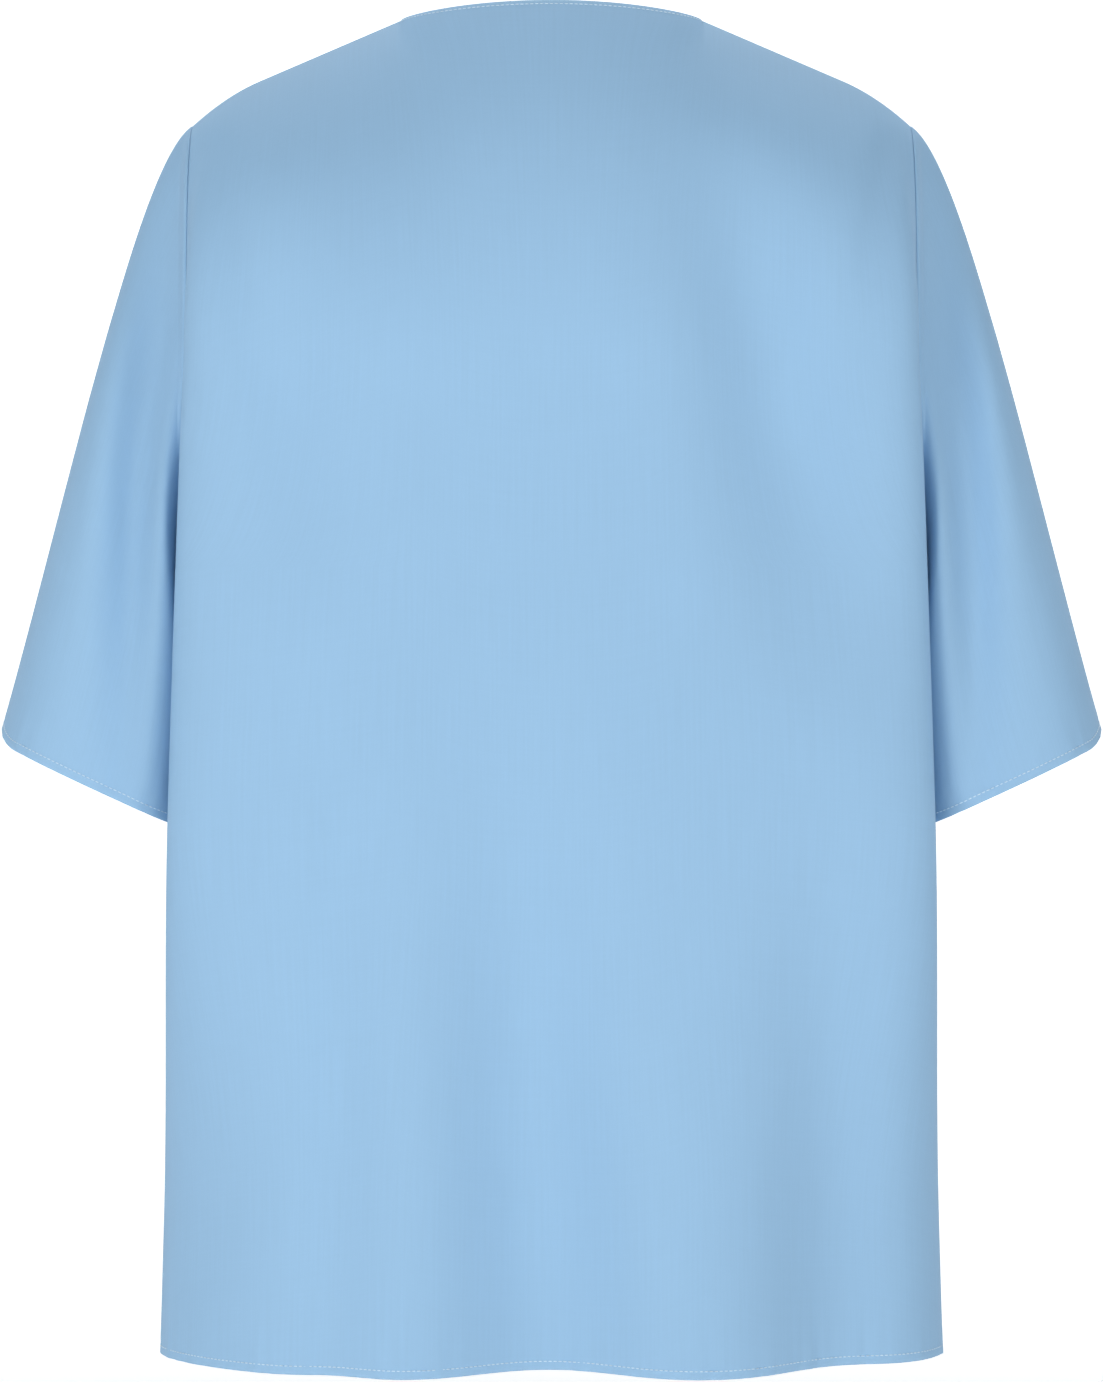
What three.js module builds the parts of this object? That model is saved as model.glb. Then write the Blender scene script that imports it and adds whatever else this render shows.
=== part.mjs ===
// A woman's kimono cardigan in a light woven cloth, worn open over an unseen figure.
//
// Five cut pieces: one back, two fronts and two wide half sleeves, with narrow turned hems.
// Millimetres, +Z up, the wearer faces -Y and the wearer's left is +X.
// The origin lies midway between the neck ends of the two shoulder seams.

import * as THREE from "three";

// ---- Driving sizes ----------------------------------------------------------------------

const NECK_HALF = 90; //         centre back to the neck end of a shoulder seam
const NAPE_BACK = 46; //         how far behind the shoulder seams the neckline lies at the nape
const NAPE_RISE = 6.3; //        how far above them it lies there
const SHOULDER_HALF = 215; //    centre back to the shoulder tip, where the sleeve is sewn on
const SHOULDER_SLOPE = 0.43; //  fall of the shoulder seam
const TIP_CURVE = [175, 0.006]; // where the seam starts to curve down to the tip, and how hard
const HEM_Z = -797.5;
const HEM_DROP = 2.5; //         how much lower it hangs at the back and front than at the sides
const HEM_HALF = 233.5; //       half the width of the body at the hem
const BACK_DEPTH = [121, 128]; // shoulder seams to the centre back, at the chest and at the hem
const FRONT_DEPTH = [106, 112]; // shoulder seams to the fronts, at the same levels
const FRONT_EDGE = [84, 76]; //  half of the open gap between the fronts, at the same levels

// How the cloth leaves the shoulder seams, and how it leaves the neckline at the nape:
const PITCH = [14, 50]; //       degrees below the level
const START = [40, 56]; //       how far it keeps to that
const HANG = [0.58, 0.46]; //    the share of its drop to chest level over which it hangs straight

const CHEST_Z = -210; //         above this level the cloth curves over the shoulders
const UNDERARM_Z = -330; //      the foot of the armhole
const ARMHOLE_HALF = 58; //      half the armhole's width from front to back
const ROLL_Y = [72, 10]; //      where the body is widest, front and back: by the sleeves, at the hem
const ROLL_CHANGE = { from: -470, over: 250 }; // where it passes from one to the other
const FLARE = 0.85; //           below 1, most of the body's widening comes early on the way down
const SIDE_TUCK = [3, 21]; //    how far the sides tuck in: everywhere, and more beside the cuffs
const TUCK_SPREAD = 85; //       how far above and below the cuffs they do
const CUFF_Z = -465;

// A level of the back or a front is a quarter oval, sine and cosine raised to these powers, which is
// squarer over the chest and looser by the hem:
const OVAL_ACROSS = [0.83, 1];
const OVAL_BACK = [0.83, 1.15];
const OVAL_CHANGE = { from: -420, over: 300 };

const CUFF_TOP = [328.8, -432]; //   x and z of the cuff's outer end
const CUFF_FOOT = [215, -485]; //    x and z of its inner end, beside the body
const CUFF_DEPTH = 64; //            half its width from front to back
const CUFF_CORNER = 7; //            how far the cuff's outer end is rounded up
const CORNER_SPAN = 0.6; //          the radians of the cuff's ring over which it is
const ARM_SLOPE = THREE.MathUtils.degToRad(15.5); // how far a sleeve stands off the vertical

// How a sleeve's cloth leaves the armhole, at the shoulder tip and at the underarm:
const LEAVE_OUT = [0.83, 0.62]; //   outwards
const LEAVE_DOWN = [0.56, 0.78]; //  downwards
const LEAVE_BACK = 0.1; //           and halfway between them, backwards or forwards
const LEAVE_LENGTH = [38, 26]; //    how far it keeps that direction
const ARRIVE_SHARE = 0.48; //        the share of its length over which it already hangs along the arm

const CLOTH = 1.2; //            thickness of the cloth's wall
const HEM_CLOTH = 2; //          thickness where a hem is turned under
const HEM_WIDTH = 6;
const SEAM_GAP = 0.2; //         each body panel stops this far short of the seam's line
const SLEEVE_GAP = 1; //         a sleeve's mouth starts this far outside the armhole's line

// How finely each stretch is faceted.
const NECK_COLUMNS = 4;
const BACK_COLUMNS = 12; //      centre back to the rounded edge
const FRONT_COLUMNS = 9; //      front edge to the rounded edge
const SIDE_COLUMNS = 4; //       rounded edge to the side seam or armhole
const DOME_ROWS = 8; //          shoulder seam to chest level
const ARMHOLE_ROWS = 6; //       chest level to the foot of the armhole
const SKIRT_ROWS = 12; //        foot of the armhole to the hem
const SLEEVE_ROWS = 11;

// Soft folds, each a trough (or a ridge where its depth is below 0) that runs from top to foot,
// both [x, z]. width is [at the top, at the foot]; fade is the share of its length over which it
// starts and ends, and 0 leaves that end at full depth.
const BACK_FOLDS = [
  { top: [30, -350], foot: [2, HEM_Z], width: [26, 38], depth: 46, fade: [1, 0] },
  { top: [-60, -50], foot: [-146, -420], width: [20, 28], depth: 9, fade: [0.4, 0.5] },
  { top: [-130, -400], foot: [-148, HEM_Z], width: [24, 27], depth: 14, fade: [1, 0] },
  { top: [126, -600], foot: [134, HEM_Z], width: [13, 16], depth: 4, fade: [0.6, 0] },
  { top: [160, -90], foot: [138, -380], width: [18, 24], depth: 5, fade: [0.5, 0.5] },
];
const FRONT_FOLDS = [
  { top: [140, -330], foot: [126, HEM_Z], width: [20, 28], depth: 20, fade: [1, 0] },
  { top: [-142, -300], foot: [-150, HEM_Z], width: [20, 30], depth: 18, fade: [1, 0] },
  { top: [184, -560], foot: [190, HEM_Z], width: [13, 16], depth: 8, fade: [0.7, 0] },
];
const SLEEVE_FOLDS = [{ top: [234, -84], foot: [253, -480], width: [9, 15], depth: 13, fade: [0.3, 0.55] }];

// ---- Small helpers ----------------------------------------------------------------------

const { lerp: mix, clamp } = THREE.MathUtils;
const point = (x, y, z) => new THREE.Vector3(x, y, z);
const ease = (t) => THREE.MathUtils.smoothstep(t, 0, 1);
const below = ({ from, over }, z) => ease((from - z) / over);
const bell = (t) => Math.exp(-0.5 * t * t);
const steps = (n) => Array.from({ length: n + 1 }, (_, i) => i / n);

/** How deep a fold lies at x and z. */
function foldDepth(fold, x, z) {
  const t = (z - fold.top[1]) / (fold.foot[1] - fold.top[1]);
  if (t <= 0 || (t >= 1 && fold.fade[1] > 0)) return 0;
  const start = ease(t / fold.fade[0]);
  const end = fold.fade[1] > 0 ? ease((1 - t) / fold.fade[1]) : 1;
  const axis = mix(fold.top[0], fold.foot[0], t);
  return fold.depth * start * end * bell((x - axis) / mix(fold.width[0], fold.width[1], t));
}

/** Presses the folds into a grid of points, towards the wearer, and lifts the cloth a little there. */
function pressFolds(grid, folds) {
  const HOLD = 30; // a fold dies away where the cloth turns round the side, within this of y = 0
  const LIFT = 0.06; // of its depth, reached some way under the armholes
  const LIFT_CHANGE = { from: UNDERARM_Z, over: 200 };
  for (const p of grid.flat()) {
    const hold = ease(Math.abs(p.y) / HOLD);
    const deep = hold * folds.reduce((sum, fold) => sum + foldDepth(fold, p.x, p.z), 0);
    p.y -= Math.sign(p.y) * deep;
    p.z += LIFT * Math.max(deep, 0) * below(LIFT_CHANGE, p.z);
  }
  return grid;
}

/** Points spaced evenly along the line through a list of points. */
const evenly = (points, count) => new THREE.CatmullRomCurve3(points).getSpacedPoints(count);

/** How far along the line through a list of points each of them lies. */
function lengthsAlong(points) {
  const along = [0];
  for (let i = 1; i < points.length; i++) along.push(along[i - 1] + points[i].distanceTo(points[i - 1]));
  return along;
}

/** A curve that leaves one point along a first vector and arrives at another against a second. */
const sweep = (from, leave, arrive, to) =>
  new THREE.CubicBezierCurve3(from, from.clone().add(leave), to.clone().add(arrive), to);

// ---- The body's form --------------------------------------------------------------------

/** Height of the shoulder seam at x, and of the neckline between its ends. */
function ridgeZ(x) {
  if (x < NECK_HALF) return NAPE_RISE * (1 - (x / NECK_HALF) ** 2);
  return -SHOULDER_SLOPE * (x - NECK_HALF) - TIP_CURVE[1] * Math.max(0, x - TIP_CURVE[0]) ** 2;
}

/** A size that runs from its value at the chest to its value at the hem. */
const down = ([chest, hem], z) => mix(chest, hem, clamp((CHEST_Z - z) / (CHEST_Z - HEM_Z), 0, 1));

/** Half the body's width at a level, and where front and back it is that wide. */
const rollX = (z) => mix(SHOULDER_HALF, HEM_HALF, down([0, 1], z) ** FLARE);
const rollY = (z) => mix(...ROLL_Y, below(ROLL_CHANGE, z));

/** The side's half-width at a level and a distance y from the shoulder seams' plane. */
function sideX(y, z) {
  const tuck = SIDE_TUCK[0] + SIDE_TUCK[1] * bell((z - CUFF_Z) / TUCK_SPREAD);
  return rollX(z) - tuck * ease((rollY(z) - y) / ROLL_Y[0]);
}

/** Front-to-back place of the armhole's edge at a level. */
function armholeY(z) {
  const fall = (CHEST_Z - z) / (CHEST_Z - UNDERARM_Z);
  return ARMHOLE_HALF * Math.sqrt(Math.max(0, 1 - fall ** 2));
}

/**
 * One level of the body, from x = from to the side seam or armhole, for the back or, mirrored, a front:
 * a quarter oval to the rounded edge, squarer at the chest than at the hem, then the side.
 */
function level(z, depth, from, columns) {
  const OVAL_POINTS = 48;
  const [edgeX, edgeY] = [rollX(z), rollY(z)];
  const loose = below(OVAL_CHANGE, z);
  const [across, back] = [mix(...OVAL_ACROSS, loose), mix(...OVAL_BACK, loose)];
  const start = Math.asin((from / edgeX) ** (1 / across));
  const oval = steps(OVAL_POINTS).map((t) => {
    const a = mix(start, Math.PI / 2, t);
    const [sine, cosine] = [Math.sin(a), Math.max(0, Math.cos(a))];
    return point(edgeX * sine ** across, edgeY + (depth - edgeY) * cosine ** back, z);
  });
  const end = (z > UNDERARM_Z ? armholeY(z) : 0) + SEAM_GAP;
  const side = steps(SIDE_COLUMNS).slice(1).map((t) => {
    const y = mix(edgeY, end, t);
    return point(sideX(y, z), y, z);
  });
  const row = [...evenly(oval, columns), ...side];
  row.forEach((p) => (p.z -= down([0, HEM_DROP], z) * ease(p.y / depth)));
  return row;
}

/** The levels from the chest down: round the armhole, then to the hem with a last narrow row for it. */
const LEVELS = [
  ...steps(ARMHOLE_ROWS).map((t) => mix(CHEST_Z, UNDERARM_Z, Math.sin((t * Math.PI) / 2))),
  ...steps(SKIRT_ROWS).slice(1).map((t) => mix(UNDERARM_Z, HEM_Z + HEM_WIDTH, t)),
  HEM_Z,
];

/**
 * Rows of points that curve from the shoulder seam or neckline, down to the row at chest level.
 * The further behind the shoulder seams a column starts, the steeper it starts.
 */
function dome(ridge, chest) {
  return steps(DOME_ROWS).slice(0, -1).map((t) =>
    ridge.map((top, i) => {
      const foot = chest[i];
      const k = (top.y - SEAM_GAP) / NAPE_BACK;
      const pitch = THREE.MathUtils.degToRad(mix(...PITCH, k));
      const out = point(0, Math.cos(pitch), -Math.sin(pitch)).multiplyScalar(mix(...START, k));
      const above = point(0, 0, (top.z - foot.z) * mix(...HANG, k));
      return sweep(top, out, above, foot).getPoint(t);
    }),
  );
}

/** Points along the shoulder seam from the neck to the tip, spaced like the chest row below them. */
function shoulderRow(chest, first) {
  const along = lengthsAlong(chest.slice(first));
  return along.map((d) => {
    const x = mix(NECK_HALF, SHOULDER_HALF, d / along.at(-1));
    return point(x, SEAM_GAP, ridgeZ(x));
  });
}

/** The half of the back on the wearer's left, as rows of points from centre back to the seam. */
function backHalf() {
  const rows = LEVELS.map((z) => level(z, down(BACK_DEPTH, z), 0, BACK_COLUMNS));
  const neck = steps(NECK_COLUMNS).map((t) => {
    const a = (t * Math.PI) / 2;
    const x = NECK_HALF * Math.sin(a);
    return point(x, SEAM_GAP + NAPE_BACK * Math.cos(a), ridgeZ(x));
  });
  const ridge = [...neck, ...shoulderRow(rows[0], NECK_COLUMNS).slice(1)];
  return [...dome(ridge, rows[0]), ...rows];
}

/** A front on the wearer's left, built with y turned to the back, as rows from front edge to seam. */
function frontHalf() {
  const rows = LEVELS.map((z) => level(z, down(FRONT_DEPTH, z), down(FRONT_EDGE, z), FRONT_COLUMNS));
  return [...dome(shoulderRow(rows[0], 0), rows[0]), ...rows];
}

// ---- The sleeves' form ------------------------------------------------------------------

/** A left sleeve as rows of closed rings, from the armhole to the cuff. */
function sleeveRings(back) {
  // The armhole's edge, from the shoulder tip down the back to the underarm, and up the front.
  const seam = back.slice(0, DOME_ROWS + ARMHOLE_ROWS + 1).map((row) => row.at(-1).clone());
  seam.forEach((p) => (p.y = Math.max(0, p.y - SEAM_GAP)));
  const along = lengthsAlong(seam);
  const share = along.map((d) => d / along.at(-1));

  const arm = point(Math.sin(ARM_SLOPE), 0, -Math.cos(ARM_SLOPE));
  const cuffTop = point(CUFF_TOP[0], 0, CUFF_TOP[1]);
  const cuffFoot = point(CUFF_FOOT[0], 0, CUFF_FOOT[1]);
  const threads = seam.map((edge, i) => {
    const a = share[i] * Math.PI;
    const cuff = cuffTop.clone().lerp(cuffFoot, (1 - Math.cos(a)) / 2);
    cuff.y = CUFF_DEPTH * Math.sin(a);
    cuff.z += CUFF_CORNER * (1 - ease(a / CORNER_SPAN));
    const [out, fall] = [mix(...LEAVE_OUT, share[i]), mix(...LEAVE_DOWN, share[i])];
    const leave = point(out, LEAVE_BACK * Math.sin(a), -fall);
    leave.setLength(mix(...LEAVE_LENGTH, share[i]));
    const start = edge.clone().setX(edge.x + SLEEVE_GAP);
    const arrive = arm.clone().multiplyScalar(-ARRIVE_SHARE * start.distanceTo(cuff));
    return sweep(start, leave, arrive, cuff);
  });
  const hemShare = HEM_WIDTH / cuffTop.distanceTo(seam[0]);
  return [...steps(SLEEVE_ROWS).map((t) => t * (1 - hemShare)), 1].map((t) => {
    const half = threads.map((thread) => thread.getPoint(t));
    const front = half.slice(1, -1).reverse().map((p) => point(p.x, -p.y, p.z));
    return [...half, ...front];
  });
}

// ---- From a grid of points to a closed wall ----------------------------------------------

/**
 * A closed wall of cloth about a grid of points. thickness(row, column) gives the wall's
 * thickness there, and round joins the last column to the first.
 */
function wall(grid, thickness, round = false) {
  const [rows, columns] = [grid.length, grid[0].length];
  const column = (j) => (round ? (j + columns) % columns : clamp(j, 0, columns - 1));
  const at = (i, j) => grid[clamp(i, 0, rows - 1)][column(j)];
  const [near, far] = [1, -1].map((face) =>
    grid.map((row, i) =>
      row.map((p, j) => {
        const down = at(i + 1, j).clone().sub(at(i - 1, j));
        const across = at(i, j + 1).clone().sub(at(i, j - 1));
        const through = down.cross(across);
        // Pieces meet squarely at a seam.
        if (Math.abs(p.y) <= SEAM_GAP) through.y = 0;
        if (round && i === 0) through.x = 0;
        return p.clone().addScaledVector(through.normalize(), (face * thickness(i, j)) / 2);
      }),
    ),
  );
  const corners = [];
  const quad = (a, b, c, d) => corners.push(a, b, c, a, c, d);
  const rim = ([i, j], [k, l]) => quad(near[i][j], near[k][l], far[k][l], far[i][j]);
  for (let j = 0; j < (round ? columns : columns - 1); j++) {
    const k = (j + 1) % columns;
    for (let i = 0; i < rows - 1; i++) {
      quad(near[i][j], near[i + 1][j], near[i + 1][k], near[i][k]);
      quad(far[i][j], far[i][k], far[i + 1][k], far[i + 1][j]);
    }
    rim([0, j], [0, k]);
    rim([rows - 1, k], [rows - 1, j]);
  }
  for (let i = 0; i < rows - 1 && !round; i++) {
    rim([i + 1, 0], [i, 0]);
    rim([i, columns - 1], [i + 1, columns - 1]);
  }
  const geometry = new THREE.BufferGeometry().setFromPoints(corners);
  geometry.computeVertexNormals();
  return geometry;
}

/** The grid reflected to the wearer's right, or to the front. */
const reflect = (grid, x, y) => grid.map((row) => row.map((p) => point(p.x * x, p.y * y, p.z)));

const cloth = new THREE.MeshStandardMaterial({ color: 0x98bedf, roughness: 0.75, metalness: 0 });

const cardigan = new THREE.Group();
function add(name, geometry) {
  const piece = new THREE.Mesh(geometry, cloth);
  piece.name = name;
  cardigan.add(piece);
}

// ---- The five pieces --------------------------------------------------------------------

const half = backHalf();
const right = reflect(half, -1, 1);
const back = half.map((row, i) => [...right[i].slice(1).reverse(), ...row]);
const centre = half[0].length - 1;
const hemmed = (grid, i) => i >= grid.length - 2;
const napeHem = (i, j) => i === 0 && Math.abs(j - centre) <= NECK_COLUMNS;
add(
  "back",
  wall(pressFolds(back, BACK_FOLDS), (i, j) => (hemmed(back, i) || napeHem(i, j) ? HEM_CLOTH : CLOTH)),
);

for (const [name, x] of [["left", 1], ["right", -1]]) {
  const front = pressFolds(reflect(frontHalf(), x, -1), FRONT_FOLDS);
  add(`front_${name}`, wall(front, (i, j) => (hemmed(front, i) || j === 0 ? HEM_CLOTH : CLOTH)));

  const folds = SLEEVE_FOLDS.map((fold) => ({
    ...fold,
    top: [fold.top[0] * x, fold.top[1]],
    foot: [fold.foot[0] * x, fold.foot[1]],
  }));
  const sleeve = pressFolds(reflect(sleeveRings(half), x, 1), folds);
  add(`sleeve_${name}`, wall(sleeve, (i) => (hemmed(sleeve, i) ? HEM_CLOTH : CLOTH), true));
}

export default cardigan;
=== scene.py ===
"""A kimono cardigan in light plain-woven cloth, hanging open as it is worn.

Five cut panels, a back, two fronts and two wide half sleeves, are each one sheet of cloth. Their
edges are turned under twice and topstitched at the hems, the cuffs, the front edges and the nape,
and folded back at the seams. Sizes are in millimetres until a mesh is made, in metres.
"""

import logging
import math
from dataclasses import dataclass, field
from enum import Enum
from typing import Any, Sequence

import bmesh
import bpy
import numpy as np
from mathutils import Matrix, Vector


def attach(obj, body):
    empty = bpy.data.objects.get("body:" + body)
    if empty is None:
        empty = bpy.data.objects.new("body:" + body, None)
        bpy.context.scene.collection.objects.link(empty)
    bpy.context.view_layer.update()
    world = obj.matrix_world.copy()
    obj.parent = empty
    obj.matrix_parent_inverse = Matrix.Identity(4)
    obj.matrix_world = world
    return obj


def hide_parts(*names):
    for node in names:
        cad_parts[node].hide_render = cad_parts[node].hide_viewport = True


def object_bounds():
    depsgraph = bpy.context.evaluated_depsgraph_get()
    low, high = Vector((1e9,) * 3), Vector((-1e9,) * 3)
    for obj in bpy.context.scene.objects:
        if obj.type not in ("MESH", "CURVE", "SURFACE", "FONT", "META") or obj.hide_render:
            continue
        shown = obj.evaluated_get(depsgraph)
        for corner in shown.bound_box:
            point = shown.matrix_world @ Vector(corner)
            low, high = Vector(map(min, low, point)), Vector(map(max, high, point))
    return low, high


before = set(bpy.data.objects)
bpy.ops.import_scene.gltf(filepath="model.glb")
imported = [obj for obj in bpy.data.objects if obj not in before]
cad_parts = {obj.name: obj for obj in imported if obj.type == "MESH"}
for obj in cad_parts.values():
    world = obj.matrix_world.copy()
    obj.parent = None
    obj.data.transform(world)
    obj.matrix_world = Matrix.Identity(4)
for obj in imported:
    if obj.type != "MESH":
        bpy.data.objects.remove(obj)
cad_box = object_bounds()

MM = 0.001
BODY = "root"
HEM_Z = -797.5
UNDERARM_Z = -330.0
Array = np.ndarray
Pair = tuple[float, float]
Colour = tuple[float, float, float]

log = logging.getLogger("cardigan")


# ---- Small helpers ----


def mix(a: Any, b: Any, t: Any) -> Any:
    """The value a share t of the way from a to b."""
    return a + (b - a) * t


def ease(t: Any) -> Any:
    """A soft step from 0 to 1 as t goes from 0 to 1."""
    t = np.clip(t, 0.0, 1.0)
    return t * t * (3.0 - 2.0 * t)


def bell(t: Any) -> Any:
    """A bell curve, 1 at its middle and one spread wide."""
    return np.exp(-0.5 * t * t)


def lengths(lines: Array) -> Array:
    """How far along its line each point lies.

    Args:
        lines: points, with the line's own direction as the last axis but one.

    Returns:
        The distance from the line's first point, for each point.
    """
    steps = np.linalg.norm(np.diff(lines[..., :3], axis=-2), axis=-1)
    along = np.cumsum(steps, axis=-1)
    return np.concatenate([np.zeros_like(along[..., :1]), along], axis=-1)


def blur(rows: Array, spread: float) -> Array:
    """Smooths rows of points along themselves.

    Args:
        rows: rows of points.
        spread: the blur's reach, in points.

    Returns:
        The smoothed rows.
    """
    reach = round(3 * spread)
    weights = bell(np.arange(-reach, reach + 1) / spread)
    padded = np.pad(rows, ((0, 0), (reach, reach), (0, 0)), mode="reflect", reflect_type="odd")
    windows = np.lib.stride_tricks.sliding_window_view(padded, len(weights), axis=1)
    return windows @ (weights / weights.sum())


def sweep(start: Array, leave: Array, arrive: Array, end: Array, t: Array) -> Array:
    """Curves that leave one point along a vector and arrive at another against a second.

    Args:
        start: first points, one for each curve.
        leave: the vectors along which the curves leave them.
        arrive: the vectors from the last points back along the curves.
        end: last points.
        t: shares of the way.

    Returns:
        An array of t by curves by 3.
    """
    t = t[:, None, None]
    s = 1.0 - t
    return (
        s**3 * start
        + 3 * s**2 * t * (start + leave)
        + 3 * s * t**2 * (end + arrive)
        + t**3 * end
    )


class Side(Enum):
    """The wearer's left or right, as the sign of x."""

    LEFT = 1
    RIGHT = -1


# ---- Folds ----


@dataclass(frozen=True)
class Fold:
    """A soft trough in the cloth, or a ridge where its depth is below 0.

    It runs from top to foot, both x and z. Its width is given at its top and foot, and fade is the
    share of its length over which it starts and ends, where 0 leaves that end at full depth.
    """

    top: Pair
    foot: Pair
    width: Pair
    depth: float
    fade: Pair

    def at(self, x: Array, z: Array) -> Array:
        """How deep the fold lies.

        Args:
            x: across the wearer.
            z: up.

        Returns:
            The depth at each place.
        """
        t = (z - self.top[1]) / (self.foot[1] - self.top[1])
        start = ease(t / self.fade[0])
        end = ease((1.0 - t) / self.fade[1]) if self.fade[1] > 0 else 1.0
        axis = mix(self.top[0], self.foot[0], t)
        width = mix(self.width[0], self.width[1], np.clip(t, 0.0, 1.0))
        return self.depth * start * end * bell((x - axis) / width)

    def on(self, side: Side) -> "Fold":
        """The same fold on a side, given as on the left."""
        (x0, z0), (x1, z1) = self.top, self.foot
        return Fold((x0 * side.value, z0), (x1 * side.value, z1), self.width, self.depth, self.fade)


@dataclass(frozen=True)
class Folds:
    """The folds of one panel, and how they press into its cloth.

    They die away within hold of the side, where y is 0, and over the first seam_rows of the dense
    form, and stay shallower than the share most of the cloth's own y. Below the armholes they lift
    the cloth by the share lift of their depth.
    """

    folds: tuple[Fold, ...]
    hold: float = 30.0
    most: float = 0.6
    seam_rows: int = 1
    lift: float = 0.06
    lift_from: float = UNDERARM_Z
    lift_over: float = 200.0

    LEAST = 0.01

    def press(self, points: Array) -> Array:
        """Presses the folds towards the wearer, where the cloth doesn't turn round the side.

        Args:
            points: the smooth cloth's points, row by row from its top edge.

        Returns:
            The points with the folds in them.
        """
        x, y, z = points[..., 0], points[..., 1], points[..., 2]
        from_seam = np.arange(len(points))[:, None] / self.seam_rows
        hold = ease(np.abs(y) / self.hold) * ease(from_seam)
        deep = hold * sum(fold.at(x, z) for fold in self.folds)
        most = self.most * np.abs(y) + self.LEAST
        deep = np.where(deep > 0.0, most * np.tanh(deep / most), deep)
        lift = self.lift * np.maximum(deep, 0.0) * ease((self.lift_from - z) / self.lift_over)
        return np.stack([x, y - np.sign(y) * deep, z + lift], axis=-1)


# ---- The form that the cloth hangs in ----


@dataclass(frozen=True)
class BodyForm:
    """The hollow form of the back and the fronts, on the wearer's left with y turned to the back."""

    neck_half: float = 90.0
    nape_back: float = 46.0
    nape_rise: float = 6.3
    shoulder_half: float = 215.0
    shoulder_slope: float = 0.43
    tip_curve: Pair = (175.0, 0.006)
    hem_z: float = HEM_Z
    hem_drop: float = 2.5
    hem_half: float = 233.5
    pitch: Pair = (14.0, 50.0)
    start: Pair = (40.0, 56.0)
    hang: Pair = (0.58, 0.46)
    chest_z: float = -210.0
    underarm_z: float = UNDERARM_Z
    armhole_half: float = 58.0
    roll: Pair = (72.0, 10.0)
    roll_change: Pair = (-470.0, 250.0)
    flare: float = 0.85
    tuck: Pair = (3.0, 21.0)
    tuck_spread: float = 85.0
    cuff_z: float = -465.0
    oval_across: Pair = (0.83, 1.0)
    oval_back: Pair = (0.83, 1.15)
    oval_change: Pair = (-420.0, 300.0)
    seam_gap: float = 0.25

    def ridge_z(self, x: Array) -> Array:
        """Height of the neckline and of the shoulder seam at x."""
        neck = self.nape_rise * (1.0 - (x / self.neck_half) ** 2)
        bend = self.tip_curve[1] * np.maximum(0.0, x - self.tip_curve[0]) ** 2
        return np.where(x < self.neck_half, neck, -self.shoulder_slope * (x - self.neck_half) - bend)

    def down(self, pair: Pair, z: Array) -> Array:
        """A size that runs from its value at the chest to its value at the hem."""
        return mix(*pair, np.clip((self.chest_z - z) / (self.chest_z - self.hem_z), 0.0, 1.0))

    def side_x(self, y: Array, z: Array) -> Array:
        """Half the body's width at a level, where its side passes y."""
        spread = bell((z - self.cuff_z) / self.tuck_spread)
        tuck = self.tuck[0] + self.tuck[1] * spread
        return self.roll_x(z) - tuck * ease((self.roll_y(z) - y) / self.roll[0])

    def roll_x(self, z: Array) -> Array:
        """Half the body's greatest width at a level."""
        return mix(self.shoulder_half, self.hem_half, self.down((0.0, 1.0), z) ** self.flare)

    def roll_y(self, z: Array) -> Array:
        """Where, front and back, the body is widest at a level."""
        return mix(*self.roll, ease((self.roll_change[0] - z) / self.roll_change[1]))

    def armhole_y(self, z: Array) -> Array:
        """Where the armhole's edge lies, front and back, at a level."""
        fall = (self.chest_z - z) / (self.chest_z - self.underarm_z)
        return self.armhole_half * np.sqrt(np.maximum(0.0, 1.0 - fall**2))


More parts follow.
